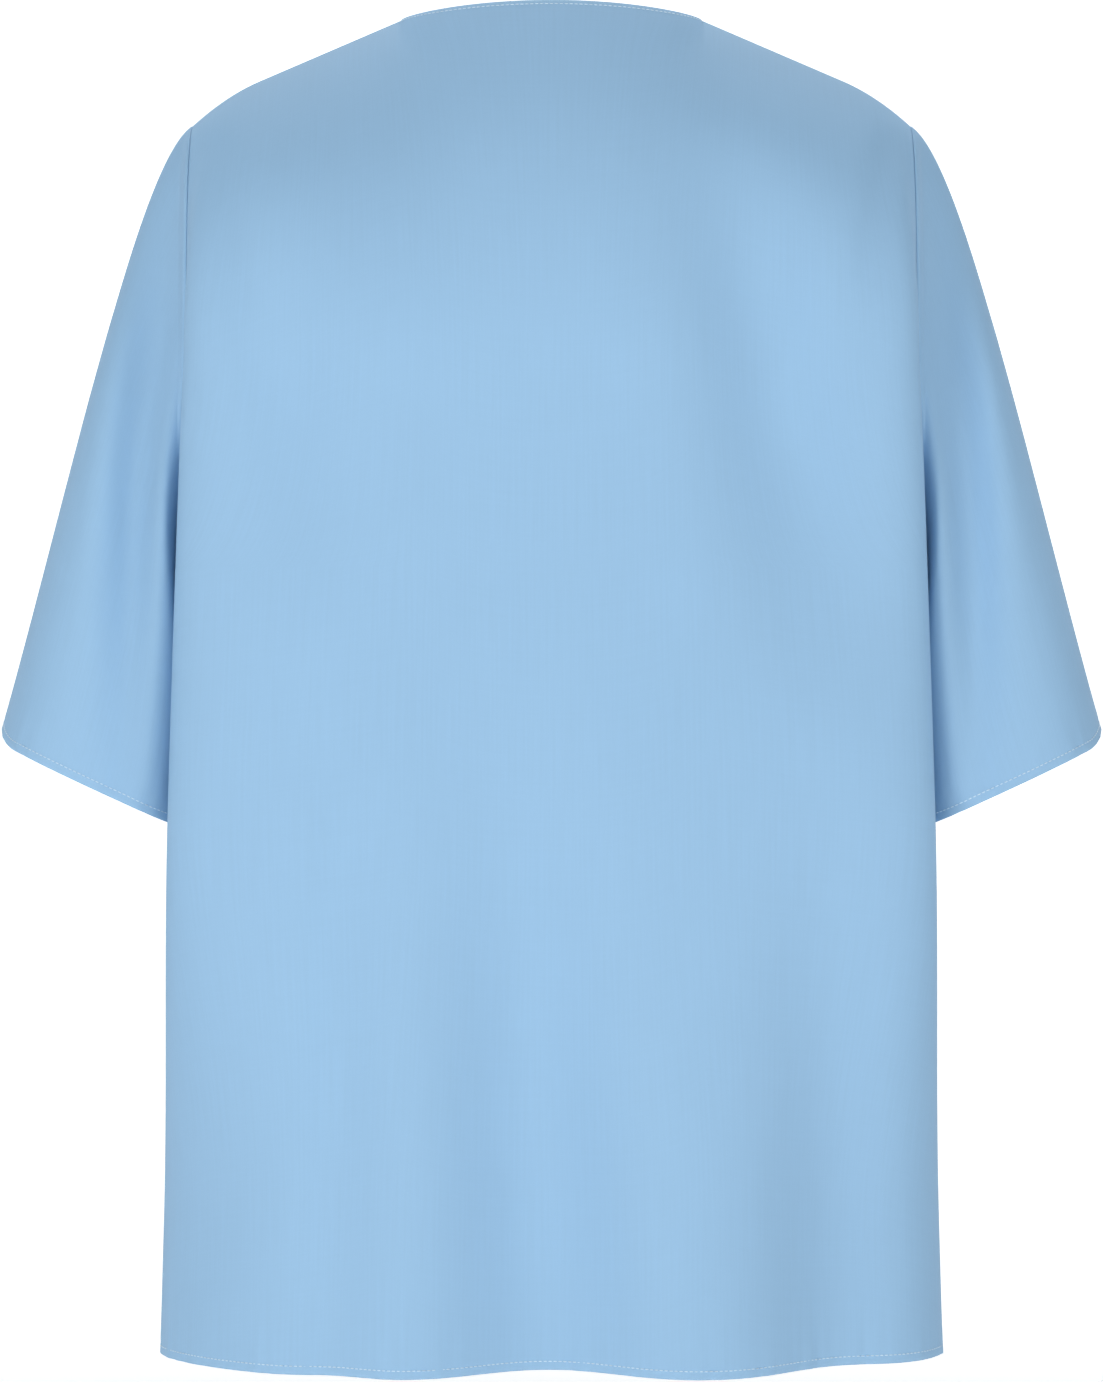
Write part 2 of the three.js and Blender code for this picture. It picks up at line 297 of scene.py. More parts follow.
@dataclass(frozen=True)
class PanelForm:
    """The half of a body panel from its centre or front edge round to the side.

    depth and edge are how far it lies from the shoulder seams' plane, and how far from the middle
    it starts, at the chest and at the hem. neck_share is the share of its rounded part under the
    neckline. OVAL and SIDE are how many steps the dense form has round the body and beside it, and
    DOME, ARMHOLE and SKIRT those down it. The CORNER values are how widely the neck ends of the
    shoulder seams are smoothed, the shares of the dome over which that starts and ends, and how
    many columns it reaches to either side.
    """

    body: BodyForm
    depth: Pair
    edge: Pair = (0.0, 0.0)
    neck_share: float = 0.0

    OVAL = 360
    SIDE = 60
    DOME = 120
    ARMHOLE = 90
    SKIRT = 260
    CORNER_BLUR = 34
    CORNER_START = 0.3
    CORNER_END = 0.5
    CORNER_BESIDE = 70

    @property
    def neck(self) -> int:
        """The dense column at the neck end of the shoulder seam."""
        return round(self.OVAL * self.neck_share)

    @property
    def chest(self) -> int:
        """The dense row at chest level."""
        return self.DOME

    @property
    def underarm(self) -> int:
        """The dense row at the foot of the armhole."""
        return self.DOME + self.ARMHOLE

    def level(self, z: float) -> Array:
        """One level of the panel: a quarter oval to the rounded edge, then the side.

        Args:
            z: the level's height.

        Returns:
            The level's points, from the centre or front edge to the side seam or armhole.
        """
        body = self.body
        depth = body.down(self.depth, z)
        edge_x, edge_y = body.roll_x(z), body.roll_y(z)
        loose = ease((body.oval_change[0] - z) / body.oval_change[1])
        across, back = mix(*body.oval_across, loose), mix(*body.oval_back, loose)
        start = math.asin((body.down(self.edge, z) / edge_x) ** (1.0 / across))
        a = mix(start, math.pi / 2, np.linspace(0.0, 1.0, self.OVAL + 1))
        cosine = np.maximum(np.cos(a), 0.0)
        oval = np.stack(
            [edge_x * np.sin(a) ** across, edge_y + (depth - edge_y) * cosine**back], axis=-1
        )
        along = lengths(oval)
        even = np.linspace(0.0, along[-1], self.OVAL + 1)
        oval = np.stack([np.interp(even, along, oval[:, c]) for c in (0, 1)], axis=-1)

        end = (body.armhole_y(z) if z > body.underarm_z else 0.0) + body.seam_gap
        y = np.linspace(edge_y, end, self.SIDE + 1)[1:]
        side = np.stack([body.side_x(y, z), y], axis=-1)
        x, y = np.concatenate([oval, side]).T
        drop = body.down((0.0, body.hem_drop), z) * ease(y / depth)
        return np.stack([x, y, z - drop], axis=-1)

    def ridge(self, chest: Array) -> Array:
        """The top edge: the neckline, then the shoulder seam spaced like the chest row below it.

        Args:
            chest: the row at chest level.

        Returns:
            The edge's points.
        """
        body, neck = self.body, self.neck
        a = np.linspace(0.0, math.pi / 2, neck + 1)[:neck]
        along = lengths(chest)
        share = (along[neck:] - along[neck]) / (along[-1] - along[neck])
        x = np.concatenate([body.neck_half * np.sin(a), mix(body.neck_half, body.shoulder_half, share)])
        y = np.concatenate([body.nape_back * np.cos(a), np.zeros_like(share)]) + body.seam_gap
        return np.stack([x, y, body.ridge_z(x)], axis=-1)

    def rows(self) -> Array:
        """The whole half panel, densely: rows from the top edge to the hem."""
        body, neck = self.body, self.neck
        armhole = np.sin(np.linspace(0.0, math.pi / 2, self.ARMHOLE + 1))
        levels = np.concatenate(
            [
                mix(body.chest_z, body.underarm_z, armhole),
                np.linspace(body.underarm_z, body.hem_z, self.SKIRT + 1)[1:],
            ]
        )
        below = np.stack([self.level(float(z)) for z in levels])
        chest = below[0]
        top = self.ridge(chest)
        k = ((top[:, 1] - body.seam_gap) / body.nape_back)[:, None]
        pitch = np.radians(mix(*body.pitch, k))
        flat = np.zeros_like(pitch)
        leave = mix(*body.start, k) * np.concatenate([flat, np.cos(pitch), -np.sin(pitch)], axis=1)
        fall = (top[:, 2:] - chest[:, 2:]) * mix(*body.hang, k)
        arrive = np.concatenate([flat, flat, fall], axis=1)
        t = np.linspace(0.0, 1.0, self.DOME + 1)[:-1]
        dome = sweep(top, leave, arrive, chest, t)
        if neck:
            # The corner at the neck end of the shoulder seam doesn't run on down the cloth.
            smooth = np.concatenate([dome[:, :0:-1] * (-1.0, 1.0, 1.0), dome], axis=1)
            smooth = blur(smooth, self.CORNER_BLUR)[:, len(top) - 1 :]
            down = ease(t / self.CORNER_START) * ease((1.0 - t) / self.CORNER_END)
            beside = bell((np.arange(len(top)) - neck) / self.CORNER_BESIDE)
            dome = mix(dome, smooth, down[:, None, None] * beside[:, None])
        return np.concatenate([dome, below])


@dataclass(frozen=True)
class SleeveForm:
    """The form of a sleeve on the wearer's left, from the armhole to the cuff.

    A pair gives a value at the shoulder tip and one at the underarm. The cloth leaves the armhole
    along leave_out and leave_down for leave_length, and backwards by leave_back, and reaches the
    cuff along the arm. Below chest level it stays a distance beside outside the body's side.
    """

    panel: PanelForm
    cuff_top: Pair = (328.8, -432.0)
    cuff_foot: Pair = (218.0, -483.6)
    cuff_depth: float = 63.0
    cuff_square: Pair = (0.8, 0.5)
    cuff_corner: float = 7.0
    corner_span: float = 0.6
    arm_slope: float = 15.5
    leave_out: Pair = (0.83, 0.62)
    leave_down: Pair = (0.56, 0.78)
    leave_back: Pair = (4.0, 80.0)
    leave_rise: float = 4.0
    leave_square: float = 0.4
    leave_length: Pair = (38.0, 26.0)
    arrive_share: float = 0.42
    mouth_gap: float = 0.6
    beside: float = 1.3
    beside_over: float = 30.0

    AROUND = 200
    ALONG = 240

    def rows(self) -> Array:
        """The whole sleeve, densely.

        Returns:
            Rows from the armhole to the cuff, each from the underarm up the back, over the top and
            down the front to the underarm again.
        """
        gap = self.panel.body.seam_gap
        edge = self.panel.rows()[: self.panel.underarm + 1, -1]
        along = lengths(edge) / lengths(edge)[-1]
        share = np.linspace(0.0, 1.0, self.AROUND + 1)
        start = np.stack([np.interp(share, along, edge[:, c]) for c in range(3)], axis=-1)
        start += (self.mouth_gap, -gap, 0.0)

        a = share * math.pi
        down = (1.0 - np.cos(a)) / 2
        corner = self.cuff_corner * (1.0 - ease(a / self.corner_span))
        x = mix(self.cuff_top[0], self.cuff_foot[0], down)
        z = mix(self.cuff_top[1], self.cuff_foot[1], down) + corner
        bulge = np.maximum(0.0, np.sin(a))
        cuff = np.stack([x, self.cuff_depth * bulge ** mix(*self.cuff_square, share), z], axis=-1)

        out, fall = mix(*self.leave_out, share), mix(*self.leave_down, share)
        leave = np.stack([out, np.zeros_like(out), -fall], axis=-1)
        leave *= (mix(*self.leave_length, share) / np.linalg.norm(leave, axis=1))[:, None]
        leave[:, 1] = mix(*self.leave_back, share**self.leave_rise) * bulge**self.leave_square
        slope = math.radians(self.arm_slope)
        arm = np.array([math.sin(slope), 0.0, -math.cos(slope)])
        reach = np.linalg.norm(cuff - start, axis=1)[:, None]
        arrive = -self.arrive_share * reach * arm
        half = sweep(start, leave, arrive, cuff, np.linspace(0.0, 1.0, self.ALONG + 1))
        half[..., 1] += gap * share
        half[..., 0] += self._push(*half.transpose(2, 0, 1))
        front = half * (1.0, -1.0, 1.0)
        return np.concatenate([half[:, ::-1], front[:, 1:]], axis=1)

    def _push(self, x: Array, y: Array, z: Array) -> Array:
        """How far the body's side pushes the cloth outwards at x, y and z."""
        body = self.panel.body
        inside = np.maximum(0.0, body.side_x(y, z) + self.beside - x)
        hangs = ease((body.chest_z - z) / self.beside_over)
        return hangs * inside * ease(y / self.beside_over)


# ---- Edges ----


STITCH_INSET = 1.1
FACE_SHARE = 0.45
HEM_SHARES = (0.35, 0.7, 0.97)
SEAM_SHARES = (0.25, 0.5, 0.7, 0.85, 1.0)


class Edge(Enum):
    """How a cut edge is finished: its width, the turn's radius, and whether it is topstitched."""

    HEM = (6.0, 0.42, True)
    NECK = (4.6, 0.42, True)
    SEAM = (9.0, 0.33, False)

    @property
    def width(self) -> float:
        """How much cloth is turned in."""
        return self.value[0]

    @property
    def stitched(self) -> bool:
        """Whether a line of thread shows."""
        return self.value[2]

    @property
    def stitch_line(self) -> float:
        """How far from the edge the thread runs."""
        return self.width - STITCH_INSET

    def path(self) -> Array:
        """How the cloth turns in: distances from the edge, and depths under the face.

        Returns:
            Twelve pairs, from the panel's face to the raw edge.
        """
        width, radius, stitched = self.value
        turn = np.linspace(0.0, math.pi, 5)
        bend = np.stack([radius * (1.0 - np.sin(turn)), radius * (1.0 - np.cos(turn))], axis=-1)
        under = 2 * radius
        face = [(width, 0.0), (FACE_SHARE * width, 0.0)]
        if stitched:
            tucked = [(width, under - 0.2), (width - 0.3, under - 0.38)]
            inside = [(share * width, under) for share in HEM_SHARES] + tucked
        else:
            inside = [(share * width, under) for share in SEAM_SHARES]
        return np.array([*face, *bend, *inside])


# ---- A panel of cloth ----


@dataclass(frozen=True)
class Ripple:
    """Small puckers that the thread draws up along a stitched edge."""

    waves: tuple[Pair, ...] = ((11.0, 0.4), (15.7, 1.9), (27.0, 4.0))
    height: float = 0.24
    reach: float = 15.0
    swell_length: float = 83.0
    groove: float = 0.24
    groove_half: float = 1.1

    def at(self, along: Array, distance: Array, line: float) -> Array:
        """How far the cloth stands out.

        Args:
            along: place along the edge.
            distance: distance from the edge.
            line: how far from the edge the thread runs.

        Returns:
            The height above the smooth cloth.
        """
        wave = sum(np.sin(2 * math.pi * along / length + start) for length, start in self.waves)
        swell = mix(0.3, 1.0, 0.5 + 0.5 * np.sin(2 * math.pi * along / self.swell_length))
        fade = np.exp(-np.maximum(distance - line, 0.0) / self.reach)
        groove = self.groove * bell((distance - line) / self.groove_half)
        return self.height * wave * swell * fade - groove


@dataclass
class Panel:
    """One sheet of cloth on its form, with its edges turned in.

    rows is the dense form. The edges are those at the first and last column and at the top and
    bottom, and neck is how many dense columns on either side of the middle have the nape's edge.
    Between the borders, columns and rows run evenly from one knot of the dense form to the next.
    """

    name: str
    node: str
    rows: Array
    first: Edge
    last: Edge
    top: Edge
    bottom: Edge
    columns: Sequence[int]
    column_knots: Sequence[int]
    steps: Sequence[int]
    step_knots: Sequence[int]
    neck: int = 0
    ripple: Ripple = field(default_factory=Ripple)

    THICKNESS = 0.34
    PROUD = 0.3

    def __post_init__(self) -> None:
        """Works out the outward normals, and joins them to the dense points."""
        down = np.gradient(self.rows, axis=0)
        across = np.gradient(self.rows, axis=1)
        normal = np.cross(down, across)
        normal /= np.linalg.norm(normal, axis=-1, keepdims=True)
        outward = self.rows - self.rows.mean(axis=(0, 1)) * (1.0, 0.0, 1.0)
        if (normal * outward)[..., :2].sum() < 0:
            normal = -normal
        self.dense = np.concatenate([self.rows, normal], axis=-1)

    @staticmethod
    def _stations(
        lines: Array, first: Array, last: Array, knots: Sequence[int], counts: Sequence[int]
    ) -> tuple[Array, Array]:
        """Places points along dense lines: both borders, and even steps from knot to knot.

        Args:
            lines: dense lines by their points by 6.
            first: the distances of the border's points from each line's start.
            last: the same from each line's end.
            knots: the dense points that a station must meet.
            counts: the numbers of steps from border to knot, from knot to knot, and so on.

        Returns:
            The points, and their distances along the lines.
        """
        along = lengths(lines)
        points, places = [], []
        for line, at, start, end in zip(lines, along, first, last):
            stops = [start[0], *at[list(knots)], at[-1] - end[0]]
            spans = zip(stops, stops[1:], counts)
            runs = [np.linspace(a, b, count, endpoint=False)[1:] for a, b, count in spans]
            between = [value for stop, run in zip(stops[1:], runs[1:]) for value in (stop, *run)]
            place = np.concatenate([start[::-1], runs[0], between, at[-1] - end])
            points.append(np.stack([np.interp(place, at, line[:, c]) for c in range(6)], axis=-1))
            places.append(place)
        return np.stack(points), np.stack(places)

    def _relief(self, across: Array, down: Array, size: Pair) -> Array:
        """How far the puckers lift the cloth along the stitched edges at its sides and bottom.

        Args:
            across: distances from the first edge.
            down: distances from the top edge.
            size: the panel's width and length.

        Returns:
            The height at each place.
        """
        width, length = size
        total = np.zeros_like(across)
        edges = (
            (self.first, down, across),
            (self.last, down, width - across),
            (self.bottom, across, length - down),
        )
        for edge, along, distance in edges:
            if edge.stitched:
                total += self.ripple.at(along, distance, edge.stitch_line)
        return total

    def _grid(self) -> tuple[Array, Array, Array, Array, Array]:
        """Places the sheet's points.

        Returns:
            The points with their normals and the depths under the face, by column and then row,
            the distances across by dense row, the distances down, and each column's length.
        """
        first, last = self.first.path(), self.last.path()
        count = len(self.dense)
        sheet, across = self._stations(
            self.dense,
            np.tile(first[:, 0], (count, 1)),
            np.tile(last[:, 0], (count, 1)),
            self.column_knots,
            self.columns,
        )
        under = np.zeros(sheet.shape[1])
        under[: len(first)] = first[::-1, 1]
        under[-len(last) :] = last[:, 1]

        lines = sheet.transpose(1, 0, 2)
        tops = np.stack([edge.path() for edge in self._top_edges(len(lines))])
        bottoms = np.tile(self.bottom.path(), (len(lines), 1, 1))
        sheet, down = self._stations(
            lines,
            tops[..., 0],
            bottoms[..., 0],
            self.step_knots,
            self.steps,
        )
        depth = np.zeros(sheet.shape[:2])
        depth[:, : tops.shape[1]] = tops[:, ::-1, 1]
        depth[:, -bottoms.shape[1] :] = bottoms[..., 1]
        depth += under[:, None]
        return sheet, depth, across, down, lengths(lines)[:, -1]

    def _top_edges(self, count: int) -> list[Edge]:
        """The finish of the top edge at each column."""
        if not self.neck:
            return [self.top] * count
        start = len(self.first.path()) + self.columns[0] - 1
        end = start + self.columns[1]
        return [Edge.NECK if start <= j <= end else self.top for j in range(count)]

    def build(self) -> bpy.types.Object:
        """Makes the sheet's mesh, with its own cloth coordinates and the puckers along its stitched
        edges.

        Returns:
            The panel, a thin closed shell.
        """
        sheet, depth, across, down, total = self._grid()
        columns, steps = depth.shape
        spans = across[:, -1:] - across[:, :1]
        share = ((across - across[:, :1]) / spans).mean(axis=0)
        warp = np.repeat(share[:, None] * float(np.median(spans)), steps, axis=1)
        mean = across.mean(axis=0)
        place = np.repeat(mean[:, None], steps, axis=1)
        relief = self._relief(place, down, (float(mean.max()), total[:, None]))
        height = self.PROUD + relief - depth
        points = (sheet[..., :3] + sheet[..., 3:] * height[..., None]) * MM

        bm = bmesh.new()
        bmesh.ops.create_grid(bm, x_segments=steps - 1, y_segments=columns - 1, size=1.0)
        mesh = bpy.data.meshes.new(self.name)
        bm.to_mesh(mesh)
        bm.free()
        mesh.vertices.foreach_set("co", points.reshape(-1))
        mesh.update()
        facing = np.empty(len(mesh.vertices) * 3)
        mesh.vertices.foreach_get("normal", facing)
        if (facing.reshape(-1, 3) * sheet[..., 3:].reshape(-1, 3)).sum() < 0:
            mesh.flip_normals()

        self._coordinates(mesh, warp * MM, lengths(points))
        mesh.shade_smooth()
        piece = bpy.data.objects.new(self.name, mesh)
        bpy.context.collection.objects.link(piece)
        shell = piece.modifiers.new("cloth thickness", "SOLIDIFY")
        shell.thickness = self.THICKNESS * MM
        shell.offset = 0.0
        return piece

    @staticmethod
    def _coordinates(mesh: bpy.types.Mesh, warp: Array, down: Array) -> None:
        """Gives the mesh its cloth coordinates, in metres across and down the grain.

        Args:
            mesh: the sheet.
            warp: the even place across the cloth, which keeps the warp threads straight.
            down: distances down it.
        """
        corners = np.empty(len(mesh.loops), dtype=np.int32)
        mesh.loops.foreach_get("vertex_index", corners)
        values = np.stack([warp, down], axis=-1).reshape(-1, 2)
        layer = mesh.uv_layers.new(name="cloth")
        layer.data.foreach_set("uv", values[corners].reshape(-1))

    def stitch_lines(self) -> list[Array]:
        """The lines along which thread shows.

        Returns:
            For each line, its points with their normals.
        """
        rows, columns = self.dense, self.dense.transpose(1, 0, 2)
        lines = []
        if self.first.stitched:
            lines.append(self._line(rows, self.first.stitch_line))
        if self.last.stitched:
            lines.append(self._line(rows[:, ::-1], self.last.stitch_line))
        if self.bottom.stitched:
            lines.append(self._line(columns[:, ::-1], self.bottom.stitch_line))
        if self.neck:
            middle = len(columns) // 2
            nape = columns[middle - self.neck : middle + self.neck + 1]
            lines.append(self._line(nape, Edge.NECK.stitch_line))
        return lines

    @staticmethod
    def _line(lines: Array, distance: float) -> Array:
        """The points at a distance from the start of each of some dense lines."""
        along = lengths(lines)
        return np.array(
            [
                [np.interp(distance, at, line[:, c]) for c in range(6)]
                for at, line in zip(along, lines)
            ]
        )


# ---- Thread ----


@dataclass(frozen=True)
class Stitching:
    """Lines of small machine stitches, outside and inside."""

    pitch: float = 2.9
    length: float = 2.3
    half_width: float = 0.34
    half_height: float = 0.42
    lies: float = 0.12
    inside: float = 1.55

    def build(self, name: str, lines: Sequence[Array], proud: float) -> bpy.types.Object:
        """Makes all the stitches of a panel as one mesh.

        Args:
            name: the piece's name.
            lines: points with their normals, for each line.
            proud: how far the cloth's face lies outside the lines.

        Returns:
            The stitches.
        """
        places = [matrix for line in lines for matrix in self._places(line, proud)]
        bm = bmesh.new()
        bmesh.ops.create_uvsphere(bm, u_segments=6, v_segments=4, radius=1.0)
        stitch = bpy.data.meshes.new(name)
        bm.to_mesh(stitch)
        bm.free()
        corners = np.array([(*vertex.co, 1.0) for vertex in stitch.vertices])

        piece = bpy.data.objects.new(name, stitch)
        bpy.context.collection.objects.link(piece)
        row = piece.modifiers.new("row", "ARRAY")
        row.count = len(places)
        bpy.context.view_layer.update()
        repeated = piece.evaluated_get(bpy.context.evaluated_depsgraph_get())
        piece.data = bpy.data.meshes.new_from_object(repeated)
        piece.modifiers.remove(row)
        bpy.data.meshes.remove(stitch)
        points = np.concatenate([corners @ np.array(matrix).T for matrix in places])[:, :3]
        piece.data.vertices.foreach_set("co", points.reshape(-1))
        piece.data.update()
        piece.data.shade_smooth()
        return piece

    def _places(self, line: Array, proud: float) -> list[Matrix]:
        """Where the stitches of one line lie.

        Args:
            line: the line's points with their normals.
            proud: how far the cloth's face lies outside it.

        Returns:
            A matrix for each stitch.
        """
        along = lengths(line)
        count = int(along[-1] / self.pitch)
        centres = (np.arange(count) + 0.5) * along[-1] / count
        values = np.stack([np.interp(centres, along, line[:, c]) for c in range(6)], axis=-1)
        ahead = np.stack([np.interp(centres + 0.5, along, line[:, c]) for c in range(3)], axis=-1)
        behind = np.stack([np.interp(centres - 0.5, along, line[:, c]) for c in range(3)], axis=-1)
        halves = Vector((self.half_width, self.half_height, self.length / 2)) * MM
        size = Matrix.Diagonal((*halves, 1.0))
        places = []
        for value, forward in zip(values, ahead - behind):
            run = Vector(forward).normalized()
            out = Vector(value[3:]).normalized()
            side = out.cross(run).normalized()
            turn = Matrix((side, run.cross(side), run)).transposed().to_4x4()
            for height in (proud + self.lies, proud - self.inside):
                centre = Vector((value[:3] + value[3:] * height) * MM)
                places.append(Matrix.Translation(centre) @ turn @ size)
        return places


# ---- Shader nodes ----


class Value:
    """A number that varies over a surface, on which plain arithmetic adds Math nodes."""

    def __init__(self, nodes: "Nodes", socket: bpy.types.NodeSocket) -> None:
        """Wraps an output socket of a node tree."""
        self.nodes = nodes
        self.socket = socket

    def _with(self, operation: str, a: Any, b: Any) -> "Value":
        """One Math node on two values."""
        node = self.nodes.add("ShaderNodeMath", {"operation": operation}, {0: a, 1: b})
        return Value(self.nodes, node.outputs[0])

    def __add__(self, other: Any) -> "Value":
        """The sum."""
        return self._with("ADD", self, other)

    def __sub__(self, other: Any) -> "Value":
        """The difference."""
        return self._with("SUBTRACT", self, other)

    def __rsub__(self, other: Any) -> "Value":
        """The difference, from a plain number."""
        return self._with("SUBTRACT", other, self)

    def __mul__(self, other: Any) -> "Value":
        """The product."""
        return self._with("MULTIPLY", self, other)

    __radd__ = __add__
    __rmul__ = __mul__

    def sine(self) -> "Value":
        """The sine of the value, in radians."""
        return self._with("SINE", self, 0.0)


class Nodes:
    """The node tree of one material. The MIX values are a colour mix's sockets, by place."""

    MIX_SHARE = 0
    MIX_A = 6
    MIX_B = 7
    MIX_RESULT = 2

    def __init__(self, name: str) -> None:
        """Starts a material with a Principled shader."""
        self.material = bpy.data.materials.new(name)
        self.material.use_nodes = True
        self.tree = self.material.node_tree
        self.surface = self.tree.nodes["Principled BSDF"]

    def add(self, kind: str, settings: dict[str, Any], inputs: dict[Any, Any]) -> bpy.types.Node:
        """Adds a node.

        Args:
            kind: the node's type.
            settings: its own settings, set first.
            inputs: a value or a link for each socket, by name or place.

        Returns:
            The node.
        """
        node = self.tree.nodes.new(kind)
        for key, value in settings.items():
            setattr(node, key, value)
        for key, value in inputs.items():
            self.feed(node.inputs[key], value)
        return node

    def feed(self, socket: bpy.types.NodeSocket, value: Any) -> None:
        """Links a value to a socket, or sets it."""
        if isinstance(value, Value):
            value = value.socket
        if isinstance(value, bpy.types.NodeSocket):
            self.tree.links.new(value, socket)
        else:
            socket.default_value = value

    def coordinates(self, uv_map: str) -> tuple[Value, Value]:
        """The two cloth coordinates of a UV map."""
        uv = self.add("ShaderNodeUVMap", {"uv_map": uv_map}, {})
        parts = self.add("ShaderNodeSeparateXYZ", {}, {0: uv.outputs[0]})
        return Value(self, parts.outputs[0]), Value(self, parts.outputs[1])

    def noise(self, x: Any, y: Any, detail: float = 2.0) -> Value:
        """Cloudy noise from 0 to 1.

        Args:
            x: place across, in noise cells.
            y: place down, in noise cells.
            detail: how many finer layers it has.

        Returns:
            The noise's value.
        """
        place = self.add("ShaderNodeCombineXYZ", {}, {0: x, 1: y})
        inputs = {"Vector": place.outputs[0], "Scale": 1.0, "Detail": detail}
        node = self.add("ShaderNodeTexNoise", {"noise_dimensions": "2D"}, inputs)
        return Value(self, node.outputs[0])

    def blend(self, share: Value, a: Colour, b: Colour) -> bpy.types.NodeSocket:
        """A colour between two, by a share from 0 to 1."""
        inputs = {self.MIX_SHARE: share, self.MIX_A: (*a, 1.0), self.MIX_B: (*b, 1.0)}
        return self.add("ShaderNodeMix", {"data_type": "RGBA"}, inputs).outputs[self.MIX_RESULT]


# ---- Finishes ----


@dataclass(frozen=True)
class ClothFinish:
    """Smooth plain-woven cloth with faint slubs along its threads.

    pitch is the distance between threads, and spread the share by which its colour varies. slubs
    are how often thread thickness changes across and along the warp, in changes a metre, weft_slubs
    the same for the weft and patches for the dye. bump is the relief's height in metres.
    """

    colour: Colour = (0.314, 0.515, 0.73)
    pitch: float = 0.45
    spread: float = 0.035
    wander: Pair = (90.0, 0.0009)
    slubs: Pair = (700.0, 14.0)
    weft_slubs: Pair = (11.0, 620.0)
    patches: Pair = (9.0, 6.0)
    roughness: float = 0.72
    sheen: float = 0.06
    sheen_roughness: float = 0.45
    shine: float = 0.25
    bump: float = 0.00006

    def material(self) -> bpy.types.Material:
        """Makes the material."""
        nodes = Nodes("cloth")
        u, v = nodes.coordinates("cloth")
        often, far = self.wander
        drift = nodes.noise(u * often, v * often, detail=1.0) * far
        turns = 2 * math.pi / (self.pitch * MM)
        weave = ((u + drift) * turns).sine() * ((v + drift) * turns).sine()
        warp = nodes.noise(u * self.slubs[0], v * self.slubs[1], detail=3.0)
        weft = nodes.noise(u * self.weft_slubs[0], v * self.weft_slubs[1], detail=3.0)
        dye = nodes.noise(u * self.patches[0], v * self.patches[1])
        tone = 0.5 + (warp - 0.5) * 0.8 + (weft - 0.5) * 0.3 + (dye - 0.5) * 0.5 + weave * 0.06
        dark = tuple(c * (1.0 - self.spread) for c in self.colour)
        light = tuple(min(1.0, c * (1.0 + self.spread)) for c in self.colour)
        surface = nodes.surface.inputs
        nodes.feed(surface["Base Color"], nodes.blend(tone, dark, light))
        nodes.feed(surface["Roughness"], self.roughness + (warp - 0.5) * 0.08 + weave * 0.03)
        surface["Sheen Weight"].default_value = self.sheen
        surface["Sheen Roughness"].default_value = self.sheen_roughness
        surface["Specular IOR Level"].default_value = self.shine
        height = weave * 0.5 + warp * 0.6 + weft * 0.4
        relief = {"Strength": 0.35, "Distance": self.bump, "Height": height}
        nodes.feed(surface["Normal"], nodes.add("ShaderNodeBump", {}, relief).outputs[0])
        return nodes.material


@dataclass(frozen=True)
class ThreadFinish:
    """Fine sewing thread, much paler than the cloth.

    twist is the distance between its strands' turns, flecks how often its shade changes in a
    metre, shades how far it goes either way, and bump the strands' relief in metres.
    """

    colour: Colour = (0.66, 0.8, 0.92)
    twist: float = 0.25
    flecks: float = 300.0
    shades: Pair = (0.86, 1.1)
    roughness: float = 0.5
    sheen: float = 0.2
    bump: float = 0.00004

    def material(self) -> bpy.types.Material:
        """Makes the material."""
        nodes = Nodes("thread")
        place = nodes.add("ShaderNodeTexCoord", {}, {})
        parts = nodes.add("ShaderNodeSeparateXYZ", {}, {0: place.outputs["Object"]})
        x, y, z = (Value(nodes, socket) for socket in parts.outputs)
        strand = ((x + y + z) * (2 * math.pi / (self.twist * MM))).sine()
        fleck = nodes.noise((x + y) * self.flecks, z * self.flecks)
        dark, light = (tuple(min(1.0, c * shade) for c in self.colour) for shade in self.shades)
        surface = nodes.surface.inputs
        tone = fleck * 0.7 + strand * 0.15 + 0.15
        nodes.feed(surface["Base Color"], nodes.blend(tone, dark, light))
        nodes.feed(surface["Roughness"], self.roughness + (fleck - 0.5) * 0.2)
        surface["Sheen Weight"].default_value = self.sheen
        relief = {"Strength": 0.3, "Distance": self.bump, "Height": strand}
        nodes.feed(surface["Normal"], nodes.add("ShaderNodeBump", {}, relief).outputs[0])
        return nodes.material


@dataclass(frozen=True)
class FloorFinish:
    """A plain pale studio floor, whose far rim glows."""

    colour: Colour = (0.9, 0.905, 0.91)
    glow: float = 0.8
    glow_from: float = 3.2
    glow_full: float = 5.6
    roughness: float = 0.9
    shine: float = 0.1

    def material(self) -> bpy.types.Material:
        """Makes the material."""
        nodes = Nodes("studio floor")
        nodes.surface.inputs["Base Color"].default_value = (*self.colour, 1.0)
        nodes.surface.inputs["Roughness"].default_value = self.roughness
        nodes.surface.inputs["Specular IOR Level"].default_value = self.shine
        place = nodes.add("ShaderNodeTexCoord", {}, {})
        centre = {0: place.outputs["Object"]}
        reach = nodes.add("ShaderNodeVectorMath", {"operation": "LENGTH"}, centre).outputs["Value"]
        ramp = {"Value": reach, "From Min": self.glow_from, "From Max": self.glow_full}
        share = nodes.add("ShaderNodeMapRange", {"interpolation_type": "SMOOTHSTEP"}, ramp)
        white = nodes.blend(Value(nodes, share.outputs[0]), (0.0, 0.0, 0.0), (1.0, 1.0, 1.0))
        nodes.feed(nodes.surface.inputs["Emission Color"], white)
        nodes.surface.inputs["Emission Strength"].default_value = self.glow
        return nodes.material


# ---- Studio ----


